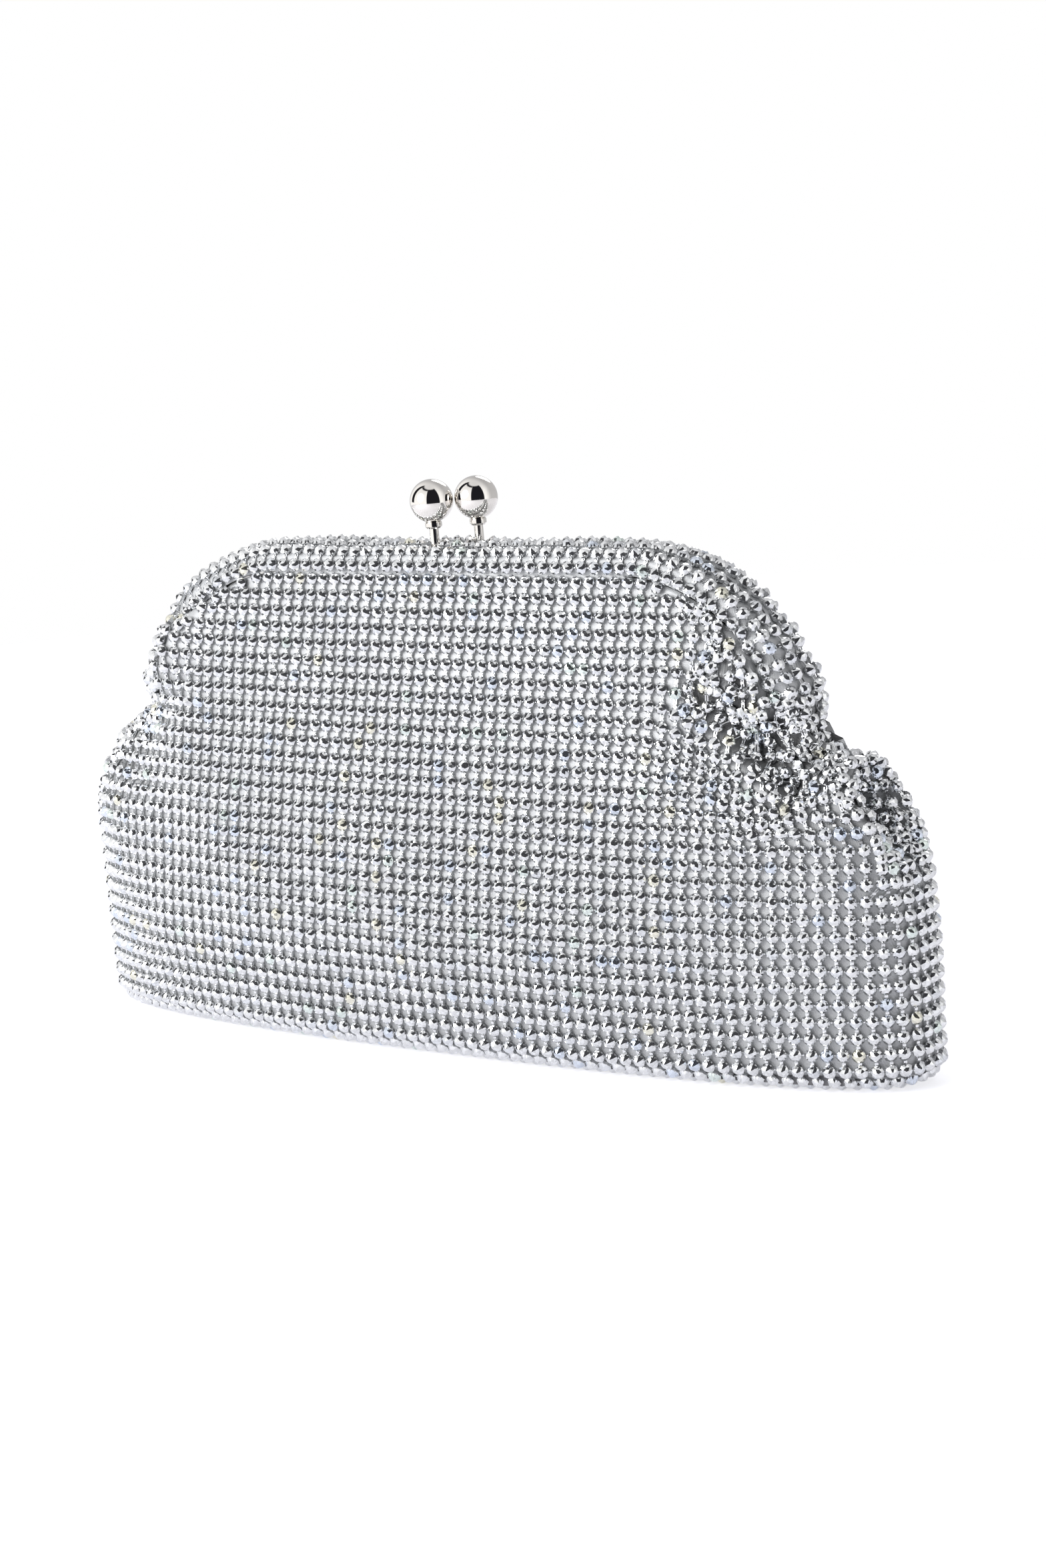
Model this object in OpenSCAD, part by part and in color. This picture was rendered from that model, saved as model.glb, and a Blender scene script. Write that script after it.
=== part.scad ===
// Kiss-lock evening bag: a stone mesh body on a hinged metal frame with two ball knobs.
// Millimetres, +Z up, front of the bag at -Y, origin at the middle of the base.

/* [Body] */
// Full width across the lower corners
body_w = 246; // [236:1:256]
// Full depth at the fullest part of the body
body_d = 54; // [52:1:60]
// Height of the bag up to the top of its frame, without the knobs
body_h = 126; // [122:1:130]
// Height at which the body is deepest
bulge_z = 27; // [24:1:36]
// Rounding of the lower edge
base_round = 6; // [5:0.5:8]
// How far each gusset folds in below its hinge
fold_depth = 15; // [8:1:18]

/* [Frame] */
// Width across the outside of the frame at its hinges
frame_w = 204; // [200:1:210]
// Height of the hinge line
hinge_z = 84; // [83:1:87]
// Length of the flat top of the arch
arch_flat = 110; // [104:1:124]
// Depth of each covered frame half, from the slit to its face
frame_half_d = 7.5; // [7:0.5:8]
// Angle that each half opens to
open_angle = 35; // [20:1:35]

/* [Hinges] */
// Diameter of the hinge rivets
pin_d = 2; // [1.6:0.1:2.4]
// Diameter of the frame's hinge lugs
lug_d = 8; // [7:0.5:8]
// Thickness of the hinge lugs
lug_t = 1.2; // [1:0.1:1.3]
// Radial running clearance of a lug on its rivet
pin_gap = 0.05; // [0.02:0.01:0.1]

/* [Clasp] */
// Diameter of the two ball knobs
ball_d = 10.8; // [10:0.1:10.8]
// Height of the knob centres above the top of the frame
ball_rise = 10.8; // [10.6:0.1:12]
// Distance of each knob from the middle, along the frame
ball_off_x = 4.5; // [4.5:0.1:6]
// Distance of each knob from the slit between the frame halves
ball_off_y = 3.2; // [3.1:0.1:3.6]
// Diameter of the knob stems
stem_d = 2.3; // [2:0.1:2.6]
// Diameter of the collars under the knobs
collar_d = 4.2; // [3.8:0.1:4.8]

/* [Layers] */
// Thickness of the stone mesh
mesh_t = 1.6; // [1.4:0.1:1.7]
// Thickness of the stiffened satin under the mesh
ground_t = 1.7; // [1.4:0.1:1.8]
// Thickness of the lining
lining_t = 0.6; // [0.4:0.1:0.7]

/* [Hidden] */

layer_gap = 0.1;
split_gap = 0.3;
ground_off = mesh_t + layer_gap;
lining_off = ground_off + ground_t + layer_gap;
inner_off = lining_off + lining_t;

hinge_x = frame_w / 2;
flat_x = arch_flat / 2;
corner_w = hinge_x - flat_x;
corner_h = body_h - hinge_z;
arch_power = 1.9;
flare_h = 36;
flare_power = 2;

mesh_inset = 6.6;
panel_top = body_h - mesh_inset;
bend_h = frame_half_d * tan(open_angle) + 7;
upper_z = hinge_z + bend_h;
end_half_d = frame_half_d;
corner_power_low = 4;
corner_power_top = 3.3;
bulge_power = 1.3;
edge_tuck = 1.8;
gusset_share = 0.5;

fold_low_z = 50;
fold_high_z = 79;

frame_inset = 3.2;
frame_web = 1;
flange_t = 0.8;
flange_inset = 8;
frame_slit = 0.8;
frame_face_y = frame_half_d - 1.9;
arm_start_h = frame_half_d * tan(open_angle) + 1.6;
front_lug_x = hinge_x - 8;
lug_step = lug_t + 0.2;
rivet_head_r = pin_d / 2 + 0.8;
rivet_head_t = 0.7;

// ---- The outer form -------------------------------------------------------------------

// Half width of the body below the hinge line
function low_half_w(z) =
    hinge_x + (body_w / 2 - hinge_x) * (1 - pow(1 - min(1, (hinge_z - z) / flare_h), flare_power));

// Half width inside the arch at height z, for an arch drawn in by inset
function arch_half_w(z, inset) =
    let (h = min(1, max(0, (z - hinge_z) / (corner_h - inset))))
    flat_x + (corner_w - inset) * pow(1 - pow(h, arch_power), 1 / arch_power);

// How far the lower edge's rounding draws the wall in
function edge_inset(z) =
    z < base_round ? base_round - sqrt(pow(base_round, 2) - pow(base_round - z, 2)) : 0;

// Half depth at the middle of the bag
function half_d(z) =
    let (full = body_d / 2, top = end_half_d + 0.5)
    z < bulge_z
        ? full - edge_tuck * pow(1 - z / bulge_z, 2)
        : top + (full - top) * (1 - pow((z - bulge_z) / (panel_top - bulge_z), bulge_power));

// How square the corners are in plan
function corner_power(z) =
    let (t = min(1, max(0, (z - bulge_z) / (panel_top - bulge_z))))
    corner_power_low + (corner_power_top - corner_power_low) * t;

// Depth of the gusset's fold at height z
function fold_at(z) =
    z > fold_low_z && z < fold_high_z
        ? fold_depth * pow(sin(180 * (z - fold_low_z) / (fold_high_z - fold_low_z)), 2)
        : 0;

// Half width of a wall drawn in by off
function wall_half_w(z, off) =
    z > hinge_z ? arch_half_w(z, mesh_inset + off) : low_half_w(z) - edge_inset(z) - off;

// Depth of a wall at x, from the middle plane
function wall_y(x, z, off) =
    let (
        n = corner_power(z),
        span = half_d(z) - edge_inset(z) - end_half_d,
        u = min(1, abs(x) / wall_half_w(z, off))
    )
    end_half_d - off + span * pow(1 - pow(u, n), 1 / n);

// Depth at which a gusset meets the front or rear wall
function gusset_y(z, off) = gusset_share * (half_d(z) - edge_inset(z) - off);

// Half width of a lower wall at depth y, with the gusset's fold taken off
function wall_x(y, z, off) =
    let (
        n = corner_power(z),
        span = half_d(z) - edge_inset(z) - end_half_d,
        v = min(1, max(0, (abs(y) - end_half_d + off) / span)),
        fold = fold_at(z) * pow(cos(90 * y / gusset_y(z, off)), 2)
    )
    wall_half_w(z, off) * pow(1 - pow(v, n), 1 / n) - fold;

// Outer arch of the frame at angle a, from the right hinge over the top to the left hinge
function arch_point(a, inset) =
    let (
        side = a < 90 ? 1 : -1,
        c = abs(cos(a)),
        x = flat_x + (corner_w - inset) * pow(c, 2 / arch_power),
        z = hinge_z + (corner_h - inset) * pow(sin(a), 2 / arch_power)
    )
    [side * x, z];

// Angle at which the arch drawn in by inset stands h above the hinge line
function arch_angle(h, inset) = asin(pow(h / (corner_h - inset), arch_power / 2));

// ---- Building blocks ------------------------------------------------------------------

function flat_list(rows) = [for (row = rows) for (p = row) p];

// Two triangles for the square from point (j, i) to (j + 1, i + 1) of a grid
function square_faces(a, b, c, d, turn) = turn ? [[a, c, b], [a, d, c]] : [[a, b, c], [a, c, d]];

// A closed wall between two grids of points of the same size
module wall(outer, inner, turn = false) {
    rows = len(outer);
    cols = len(outer[0]);
    count = rows * cols;
    sides = [
        for (j = [0:rows - 2])
            for (i = [0:cols - 2])
                let (a = j * cols + i)
                each concat(
                    square_faces(a, a + 1, a + cols + 1, a + cols, turn),
                    square_faces(
                        count + a, count + a + cols, count + a + cols + 1, count + a + 1, turn
                    )
                )
    ];
    rims = [
        for (i = [0:cols - 2])
            let (top = (rows - 1) * cols + i)
            each concat(
                square_faces(i, count + i, count + i + 1, i + 1, turn),
                square_faces(top, top + 1, count + top + 1, count + top, turn)
            )
    ];
    ends = [
        for (j = [0:rows - 2])
            let (a = j * cols, b = j * cols + cols - 1)
            each concat(
                square_faces(a, a + cols, count + a + cols, count + a, turn),
                square_faces(b, count + b, count + b + cols, b + cols, turn)
            )
    ];
    polyhedron(concat(flat_list(outer), flat_list(inner)), concat(sides, rims, ends));
}

// Even steps from low to high
function steps(low, high, count) = [for (k = [0:count]) low + (high - low) * k / count];

// Heights up an arched panel, closer together towards its top
function arch_steps(low, high, count) =
    [for (k = [0:count]) low + (high - low) * sin(90 * k / count)];

// A front or rear panel: side is -1 for the front and 1 for the rear
function panel_grid(side, heights, off, low_panel, cols) =
    [
        for (z = heights)
            let (
                edge = low_panel
                    ? wall_x(gusset_y(z, off), z, off) / wall_half_w(z, off)
                    : 1,
                reach = asin(min(1, edge))
            )
            [
                for (k = [0:cols])
                    let (x = wall_half_w(z, off) * sin(reach * (2 * k / cols - 1)))
                    [x, side * wall_y(x, z, off), z]
            ]
    ];

module panel(side, heights, off, thickness, low_panel, cols) {
    wall(
        panel_grid(side, heights, off, low_panel, cols),
        panel_grid(side, heights, off + thickness, low_panel, cols),
        side > 0
    );
}

// A gusset: side is -1 for the left and 1 for the right
function gusset_grid(side, heights, off, cols) =
    [
        for (z = heights)
            [
                for (k = [0:cols])
                    let (y = gusset_y(z, off) * (2 * k / cols - 1))
                    [side * wall_x(y, z, off), y, z]
            ]
    ];

module gusset(side, heights, off, thickness) {
    wall(
        gusset_grid(side, heights, off, gusset_cols),
        gusset_grid(side, heights, off + thickness, gusset_cols),
        side < 0
    );
}

// Outline of the body in plan at height z
function plan_outline(z, off) =
    let (front = panel_grid(-1, [z], off, false, 40)[0])
    concat(
        [for (p = front) [p[0], p[1]]],
        [for (k = [len(front) - 1:-1:0]) [front[k][0], -front[k][1]]]
    );

module plan_slab(z, thickness, off) {
    translate([0, 0, z]) linear_extrude(thickness) polygon(plan_outline(base_round, off));
}

// A band that follows the arch, between two insets, from y0 to y1
module arch_band(inset_out, inset_in, y0, y1, start_h) {
    cuts = 44;
    a_out = arch_angle(start_h, inset_out);
    a_in = arch_angle(start_h, inset_in);
    outline = concat(
        [for (a = steps(a_out, 180 - a_out, cuts)) arch_point(a, inset_out)],
        [for (a = steps(180 - a_in, a_in, cuts)) arch_point(a, inset_in)]
    );
    translate([0, y1, 0]) rotate([90, 0, 0]) linear_extrude(y1 - y0) polygon(outline);
}

// Columns of facets across each lower wall, each gusset and each upper wall
wall_cols = 24;
gusset_cols = 12;
upper_cols = 22;

board_t = 2.2;
board_z = mesh_t + 0.2;
base_lining_z = board_z + board_t + 0.2;
lower_rows = concat([1.8, 4], steps(7.5, hinge_z, 12));
upper_rows = arch_steps(upper_z, panel_top, 8);
upper_ground_rows = arch_steps(upper_z, panel_top - ground_off - layer_gap, 8);
upper_lining_rows = arch_steps(upper_z, panel_top - lining_off - layer_gap, 8);

// ---- Lower body -----------------------------------------------------------------------

module front_lower_mesh() { color("lightgray") panel(-1, lower_rows, 0, mesh_t, true, wall_cols); }
module rear_lower_mesh() { color("lightgray") panel(1, lower_rows, 0, mesh_t, true, wall_cols); }
module left_gusset_mesh() { color("gainsboro") gusset(-1, lower_rows, 0, mesh_t); }
module right_gusset_mesh() { color("gainsboro") gusset(1, lower_rows, 0, mesh_t); }

module base_mesh() {
    color("silver") plan_slab(0, mesh_t, 3);
}

module front_lower_ground() {
    color("darkgray") panel(-1, lower_rows, ground_off, ground_t, true, wall_cols);
}

module rear_lower_ground() {
    color("darkgray") panel(1, lower_rows, ground_off, ground_t, true, wall_cols);
}

module left_gusset_ground() { color("gray") gusset(-1, lower_rows, ground_off, ground_t); }
module right_gusset_ground() { color("gray") gusset(1, lower_rows, ground_off, ground_t); }

module base_board() {
    color("dimgray") plan_slab(board_z, board_t, lining_off + 2.5);
}

// The lining is a tube of cloth that follows the inside of the lower body
module lower_lining() {
    rows = concat([base_lining_z], steps(7.5, hinge_z, 12));
    color("lightsteelblue")
        difference() {
            lining_core(rows, lining_off);
            lining_core(concat([rows[0] - 1], rows, [hinge_z + 1]), inner_off);
        }
}

// The space inside the lower body, drawn in by off
module lining_core(rows, off) {
    rings = [
        for (z = rows)
            let (
                zz = min(z, hinge_z),
                front = panel_grid(-1, [zz], off, true, wall_cols)[0],
                right = gusset_grid(1, [zz], off, gusset_cols)[0],
                left = gusset_grid(-1, [zz], off, gusset_cols)[0],
                rear = panel_grid(1, [zz], off, true, wall_cols)[0]
            )
            [
                for (p = concat(
                    front,
                    [for (k = [1:gusset_cols - 1]) right[k]],
                    [for (k = [wall_cols:-1:0]) rear[k]],
                    [for (k = [gusset_cols - 1:-1:1]) left[k]]
                ))
                    [p[0], p[1], z]
            ]
    ];
    n = len(rings[0]);
    last = len(rings) - 1;
    skin = [
        for (j = [0:last - 1])
            for (i = [0:n - 1])
                let (
                    a = j * n + i,
                    b = j * n + (i + 1) % n,
                    mirrored = i >= wall_cols + gusset_cols
                )
                each mirrored
                    ? [[a, a + n, b], [b, a + n, b + n]]
                    : [[a, b + n, b], [a, a + n, b + n]]
    ];
    floor_face = [[for (i = [0:n - 1]) i]];
    roof_face = [[for (i = [n - 1:-1:0]) last * n + i]];
    polyhedron(flat_list(rings), concat(skin, floor_face, roof_face));
}

module base_lining() {
    color("lightsteelblue") plan_slab(base_lining_z, lining_t, inner_off + 1.2);
}

// An open-topped pocket sewn flat against the rear lining
module slip_pocket() {
    pocket_half_w = 52;
    rows = steps(22, 66, 4);
    function pocket_grid(off) =
        [
            for (z = rows)
                [for (x = steps(-pocket_half_w, pocket_half_w, 8)) [x, wall_y(x, z, off), z]]
        ];
    color("lightsteelblue")
        wall(pocket_grid(inner_off + 0.2), pocket_grid(inner_off + 0.8), true);
}

// ---- Flexible fabric across the hinge line --------------------------------------------

module bend_panel(side) {
    rows = steps(hinge_z + split_gap, upper_z - split_gap, 3);
    color("lightgray") panel(side, rows, 0.2, inner_off - 0.2, false, upper_cols);
}

module front_bend_panel() { bend_panel(-1); }
module rear_bend_panel() { bend_panel(1); }

// ---- Hinges ---------------------------------------------------------------------------

// A rivet along X through both lugs, with a head at each end
module hinge_rivet(side) {
    head_x = front_lug_x - 0.15 - rivet_head_t;
    span = 2 * rivet_head_t + 0.3 + lug_t + lug_step;
    color("silver")
        translate([side * head_x, 0, hinge_z]) rotate([0, side * 90, 0]) {
            cylinder(r = pin_d / 2, h = span, $fn = 48);
            cylinder(r = rivet_head_r, h = rivet_head_t, $fn = 48);
            translate([0, 0, span - rivet_head_t])
                cylinder(r = rivet_head_r, h = rivet_head_t, $fn = 48);
        }
}

module left_hinge_rivet() { hinge_rivet(-1); }
module right_hinge_rivet() { hinge_rivet(1); }

// One lug: a disc on the hinge line and a tab up into the channel, on the side of half
module lug(half, x0) {
    tab_top = arm_start_h + 4;
    color("silver")
        translate([x0, 0, hinge_z]) rotate([90, 0, 90]) difference() {
            union() {
                cylinder(r = lug_d / 2, h = lug_t, $fn = 64);
                linear_extrude(lug_t)
                    polygon([
                        [half * frame_slit, 0],
                        [half * lug_d / 2, 0],
                        [half * (frame_face_y - 0.2), arm_start_h],
                        [half * (frame_face_y - 0.2), tab_top],
                        [half * (frame_slit + 0.2), tab_top]
                    ]);
            }
            translate([0, 0, -1]) cylinder(r = pin_d / 2 + pin_gap, h = lug_t + 2, $fn = 48);
        }
}

// ---- Frame halves ---------------------------------------------------------------------

// half is -1 for the front and 1 for the rear
module frame_channel(half) {
    y_face = half * frame_face_y;
    y_slit = half * frame_slit;
    y_low = min(y_face, y_slit);
    y_high = max(y_face, y_slit);
    stem_x = half * ball_off_x;
    color("silver")
        difference() {
            union() {
                arch_band(frame_inset, frame_inset + frame_web, y_low, y_high, arm_start_h);
                arch_band(frame_inset, flange_inset, y_low, y_low + flange_t, arm_start_h);
                arch_band(frame_inset, flange_inset, y_high - flange_t, y_high, arm_start_h);
                for (side = [-1, 1])
                    lug(half, lug_start(side, half));
            }
            translate([stem_x, half * ball_off_y, body_h - frame_inset - 3])
                cylinder(r = stem_d / 2 + pin_gap, h = 6, $fn = 48);
        }
}

// Lowest X of a lug: the rear half's lugs lie outside the front half's
function lug_start(side, half) =
    let (near = front_lug_x + (half > 0 ? lug_step : 0))
    side > 0 ? near : -near - lug_t;

module front_frame() { frame_channel(-1); }
module rear_frame() { frame_channel(1); }

// The cord that holds the cloth in the channel
module frame_cord(half) {
    y_a = half * (frame_face_y - flange_t - 0.2);
    y_b = half * (frame_slit + flange_t + 0.2);
    color("tan")
        arch_band(frame_inset + 2.4, flange_inset - 0.6, min(y_a, y_b), max(y_a, y_b), arm_start_h + 9);
}

module front_frame_cord() { frame_cord(-1); }
module rear_frame_cord() { frame_cord(1); }

// Section of the covered frame half: [inset, depth] from the panel's edge round to the slit
frame_outer = [[6.3, 8.2], [4, 8], [1.9, 7.1], [0.5, 5.2], [0, 2.9], [0, 0.3]];
frame_inner = [[6.3, 6.6], [4.4, 6.5], [3, 5.9], [2.1, 4.7], [1.6, 2.8], [1.6, 0.3]];

// The mesh over a frame half, with a round hole for the knob's stem
module frame_mesh(half) {
    cuts = 46;
    function strip(section) =
        [
            for (s = section)
                let (a0 = arch_angle(arm_start_h, s[0]))
                [
                    for (a = steps(a0, 180 - a0, cuts))
                        let (p = arch_point(a, s[0]))
                        [p[0], half * s[1], p[1]]
                ]
        ];
    color("lightgray")
        difference() {
            wall(strip(frame_outer), strip(frame_inner), half < 0);
            translate([half * ball_off_x, half * ball_off_y, body_h - 4])
                cylinder(r = stem_d / 2 + 0.2, h = 8, $fn = 24);
        }
}

module front_frame_mesh() { frame_mesh(-1); }
module rear_frame_mesh() { frame_mesh(1); }

// ---- Fabric inside the arch -----------------------------------------------------------

module front_upper_mesh() { color("lightgray") panel(-1, upper_rows, 0, mesh_t, false, upper_cols); }
module rear_upper_mesh() { color("lightgray") panel(1, upper_rows, 0, mesh_t, false, upper_cols); }

module front_upper_ground() {
    color("darkgray") panel(-1, upper_ground_rows, ground_off, ground_t, false, upper_cols);
}

module rear_upper_ground() {
    color("darkgray") panel(1, upper_ground_rows, ground_off, ground_t, false, upper_cols);
}

module front_upper_lining() {
    color("lightsteelblue") panel(-1, upper_lining_rows, lining_off, lining_t, false, upper_cols);
}

module rear_upper_lining() {
    color("lightsteelblue") panel(1, upper_lining_rows, lining_off, lining_t, false, upper_cols);
}

// ---- Clasp ----------------------------------------------------------------------------

module at_clasp(half) {
    translate([half * ball_off_x, half * ball_off_y, 0]) children();
}

ball_z = body_h + ball_rise;
ball_seat = 3;
collar_h = 2;
collar_top = ball_z - ball_d / 2 + 0.6;

// A plain stem, riveted over under the frame's web
module clasp_stem(half) {
    foot = body_h - frame_inset - frame_web;
    color("silver") at_clasp(half) {
        translate([0, 0, foot]) cylinder(r = stem_d / 2, h = ball_z - ball_seat - foot, $fn = 48);
        translate([0, 0, foot - 0.75]) cylinder(r = stem_d / 2 + 0.35, h = 0.7, $fn = 48);
        translate([0, 0, foot - 0.1]) cylinder(r = stem_d / 2, h = 0.2, $fn = 48);
    }
}

module clasp_collar(half) {
    color("silver") at_clasp(half) difference() {
        translate([0, 0, collar_top - collar_h]) rotate_extrude($fn = 64)
            polygon([
                [stem_d / 2 + pin_gap, 0],
                [collar_d / 2 - 0.4, 0],
                [collar_d / 2, 0.5],
                [collar_d / 2, collar_h - 0.6],
                [collar_d / 2 - 0.3, collar_h],
                [stem_d / 2 + pin_gap, collar_h]
            ]);
        translate([0, 0, ball_z]) sphere(r = ball_d / 2 + 0.05, $fn = 96);
    }
}

module clasp_ball(half) {
    color("silver") at_clasp(half) difference() {
        translate([0, 0, ball_z]) sphere(r = ball_d / 2, $fn = 96);
        translate([0, 0, ball_z - ball_d])
            cylinder(r = stem_d / 2 + pin_gap, h = ball_d - ball_seat, $fn = 48);
    }
}

module front_clasp_stem() { clasp_stem(-1); }
module rear_clasp_stem() { clasp_stem(1); }
module front_clasp_collar() { clasp_collar(-1); }
module rear_clasp_collar() { clasp_collar(1); }
module front_clasp_ball() { clasp_ball(-1); }
module rear_clasp_ball() { clasp_ball(1); }

// ---- Nodes ----------------------------------------------------------------------------

front_lower_mesh();
rear_lower_mesh();
left_gusset_mesh();
right_gusset_mesh();
base_mesh();
front_lower_ground();
rear_lower_ground();
left_gusset_ground();
right_gusset_ground();
base_board();
lower_lining();
base_lining();
slip_pocket();
front_bend_panel();
rear_bend_panel();
left_hinge_rivet();
right_hinge_rivet();
front_frame();
front_frame_cord();
front_frame_mesh();
front_upper_mesh();
front_upper_ground();
front_upper_lining();
front_clasp_stem();
front_clasp_collar();
front_clasp_ball();
rear_frame();
rear_frame_cord();
rear_frame_mesh();
rear_upper_mesh();
rear_upper_ground();
rear_upper_lining();
rear_clasp_stem();
rear_clasp_collar();
rear_clasp_ball();
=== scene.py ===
import bpy
import numpy as np
from mathutils import Matrix, Vector


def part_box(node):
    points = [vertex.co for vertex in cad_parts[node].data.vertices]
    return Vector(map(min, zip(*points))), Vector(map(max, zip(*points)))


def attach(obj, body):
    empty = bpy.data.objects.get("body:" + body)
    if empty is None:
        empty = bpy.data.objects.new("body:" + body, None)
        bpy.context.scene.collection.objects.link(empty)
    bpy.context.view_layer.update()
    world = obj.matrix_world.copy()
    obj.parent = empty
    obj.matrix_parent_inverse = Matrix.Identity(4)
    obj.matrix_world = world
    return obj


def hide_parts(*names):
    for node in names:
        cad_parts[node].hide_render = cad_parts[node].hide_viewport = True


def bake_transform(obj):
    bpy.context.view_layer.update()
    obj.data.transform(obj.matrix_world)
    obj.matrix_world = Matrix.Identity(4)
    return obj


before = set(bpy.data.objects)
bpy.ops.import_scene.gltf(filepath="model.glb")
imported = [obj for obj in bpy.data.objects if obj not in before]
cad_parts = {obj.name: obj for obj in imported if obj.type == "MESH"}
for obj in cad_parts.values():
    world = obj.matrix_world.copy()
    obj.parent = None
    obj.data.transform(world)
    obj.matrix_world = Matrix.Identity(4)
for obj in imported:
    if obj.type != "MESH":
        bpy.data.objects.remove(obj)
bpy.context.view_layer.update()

# Shapes are worked out in millimetres, and make_object() turns them into metres.
MM = 0.001
FRONT = -1
REAR = 1


def box_mm(node):
    low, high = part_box(node)
    return np.array(low) / MM, np.array(high) / MM


# ---- Sizes taken from the frame --------------------------------------------------------

wall_low, wall_high = box_mm("front_lower_mesh")
band_low, band_high = box_mm("front_frame_mesh")
ball_low, ball_high = box_mm("front_clasp_ball")
board_high = box_mm("base_board")[1]
pocket_low, pocket_high = box_mm("slip_pocket")

HALF_W = box_mm("right_gusset_mesh")[1][0]
HALF_D = -wall_low[1]
HINGE_Z = wall_high[2]
TOP_Z = band_high[2]
BAND_DEPTH = -band_low[1]
BALL_X, BALL_Y = ((ball_low + ball_high) / 2)[:2]

# ---- Shape of the bag ------------------------------------------------------------------

# The arch of the frame: its hinges, half the flat top, and how square its shoulders are
HINGE_X = 102.0
FLAT_X = 55.0
ARCH_POWER = 1.9

# Below the hinges the ends flare out over this height, a little past the gussets
FLARE_H = 27.0
END_FULL = 5.0

# The walls are deepest at BULGE_Z, draw in to TOP_HALF_D, and round under at the base
BULGE_Z = 27.0
BULGE_POWER = 1.3
TOP_HALF_D = 8.0
BASE_ROUND = 6.0
BASE_BEND = BASE_ROUND * np.pi / 2
EDGE_TUCK = 1.8

# The plan's ends: half depths at the frame and below it, and how square the corners are
END_HALF_D = 7.5
LOW_END_HALF_D = 1.0
CORNER_LOW = 2.4
CORNER_TOP = 3.3

# The upper wall stops short of the arch, where the band over the frame begins
PANEL_INSET = 6.6
PANEL_TOP = TOP_Z - PANEL_INSET
BAND_START_H = 6.9
BAND_POWER = 3.0

# The fold pushed into each gusset, and the shares of the half depth that fold and gusset take
FOLD_DEPTH = 15.0
FOLD_LOW_Z = 50.0
FOLD_HIGH_Z = 79.0
FOLD_SHARE = 0.54
GUSSET_SHARE = 0.5

# Between these heights the flared outline turns into the arch
MERGE_LOW_Z = 76.0
MERGE_HIGH_Z = 90.0

# Rows and columns of stones
PITCH_ACROSS = 3.8
ROW_COUNT = 31
MOST_COLUMNS = 50
BASE_ROWS = 9
LOW_ROW = 0.9
EDGE_GAP = 1.6

# The columns stand closer by this share from GATHER_FROM outwards
GATHER = 0.16
GATHER_FROM = 66.0
GATHER_OVER = 26.0

# One stone, its cup, and the wires of the net
STONE_R = 1.64
STONE_H = 1.3
CUP_BASE = -0.9
NET_DEPTH = 0.4
LOOP_OFF = 0.3
LOOP_WIRE = 0.13
TIE_REACH = 0.42
TIE_WIRE = 0.26
CROSS_WIRE = 0.15
LINK_REACH = 7.5

# How far stones stray, tilt and twist in calm cloth, and how much more where it is crumpled
STRAY = (0.05, 0.14)
TILT = (0.03, 0.13)
TWIST = (0.06, 0.35)

# The layers under the stones, as offsets from the outer form
SATIN_OFF = -1.0
SATIN_T = 0.9
LINING_OFF = -3.5
LINING_T = 0.35
LINING_GUSSET_GAP = 3.4
LINING_ARCH_GAP = 4.2
UNDERSIDE_TUCK = 1.25

# Where gathered cloth has room, more stones are put in at random. FILL_GAP is how far apart they
# stand, less the next two where the cloth is crumpled and in the hollow
FILL_GAP = 2.8
FILL_CLOSER = 0.25
FILL_CLOSER_HOLLOW = 0.45
FILL_TRIES = 12000
FILL_KEYS = 1000
SHOULDER_X = 62.0
SHOULDER_Z = 62.0

random = np.random.default_rng(7)


def ease(share):
    share = np.clip(share, 0, 1)
    return share * share * (3 - 2 * share)


def within(z, low, high):
    """1 at heights between low and high, rising over 14 mm and falling over 8 mm."""
    return ease((z - low) / 14) * (1 - ease((z - high) / 8))


def mound(p, x, z, size_x, size_z):
    """A soft bump that is 1 at (x, z), seen from the front."""
    return np.exp(-(((p[:, 0] - x) / size_x) ** 2) - ((p[:, 2] - z) / size_z) ** 2)


def low_half_w(z):
    drop = np.clip((HINGE_Z - z) / FLARE_H, 0, 1)
    return HINGE_X + (HALF_W + END_FULL - HINGE_X) * (1 - (1 - drop) ** 2)


def arch_half_w(z, inset):
    height = np.clip((z - HINGE_Z) / (TOP_Z - HINGE_Z - inset), 0, 1)
    return FLAT_X + (HINGE_X - FLAT_X - inset) * (1 - height**ARCH_POWER) ** (1 / ARCH_POWER)


def half_depth(z):
    rise = np.clip((z - BULGE_Z) / (PANEL_TOP - BULGE_Z), 0, 1)
    upper = TOP_HALF_D + (HALF_D - TOP_HALF_D) * (1 - rise**BULGE_POWER)
    lower = HALF_D - EDGE_TUCK * (1 - np.clip(z / BULGE_Z, 0, 1)) ** 2
    return np.where(z < BULGE_Z, lower, upper)


def corner_power(z):
    rise = np.clip((z - BULGE_Z) / (PANEL_TOP - BULGE_Z), 0, 1)
    return CORNER_LOW + (CORNER_TOP - CORNER_LOW) * rise


def fold_depth(z):
    share = np.clip((z - FOLD_LOW_Z) / (FOLD_HIGH_Z - FOLD_LOW_Z), 0, 1)
    return FOLD_DEPTH * np.sin(np.pi * share) ** 2


# A height on the skin is given as v, the length of cloth up from the underside
def height(v):
    bend = BASE_ROUND * (1 - np.cos(v / BASE_ROUND))
    return np.where(v < BASE_BEND, bend, v - BASE_BEND + BASE_ROUND)


def cloth_at(z):
    return z + BASE_BEND - BASE_ROUND


def edge_inset(v):
    return np.where(v < BASE_BEND, BASE_ROUND * (1 - np.sin(v / BASE_ROUND)), 0)


def merge(z):
    return ease((z - MERGE_LOW_Z) / (MERGE_HIGH_Z - MERGE_LOW_Z))


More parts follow.
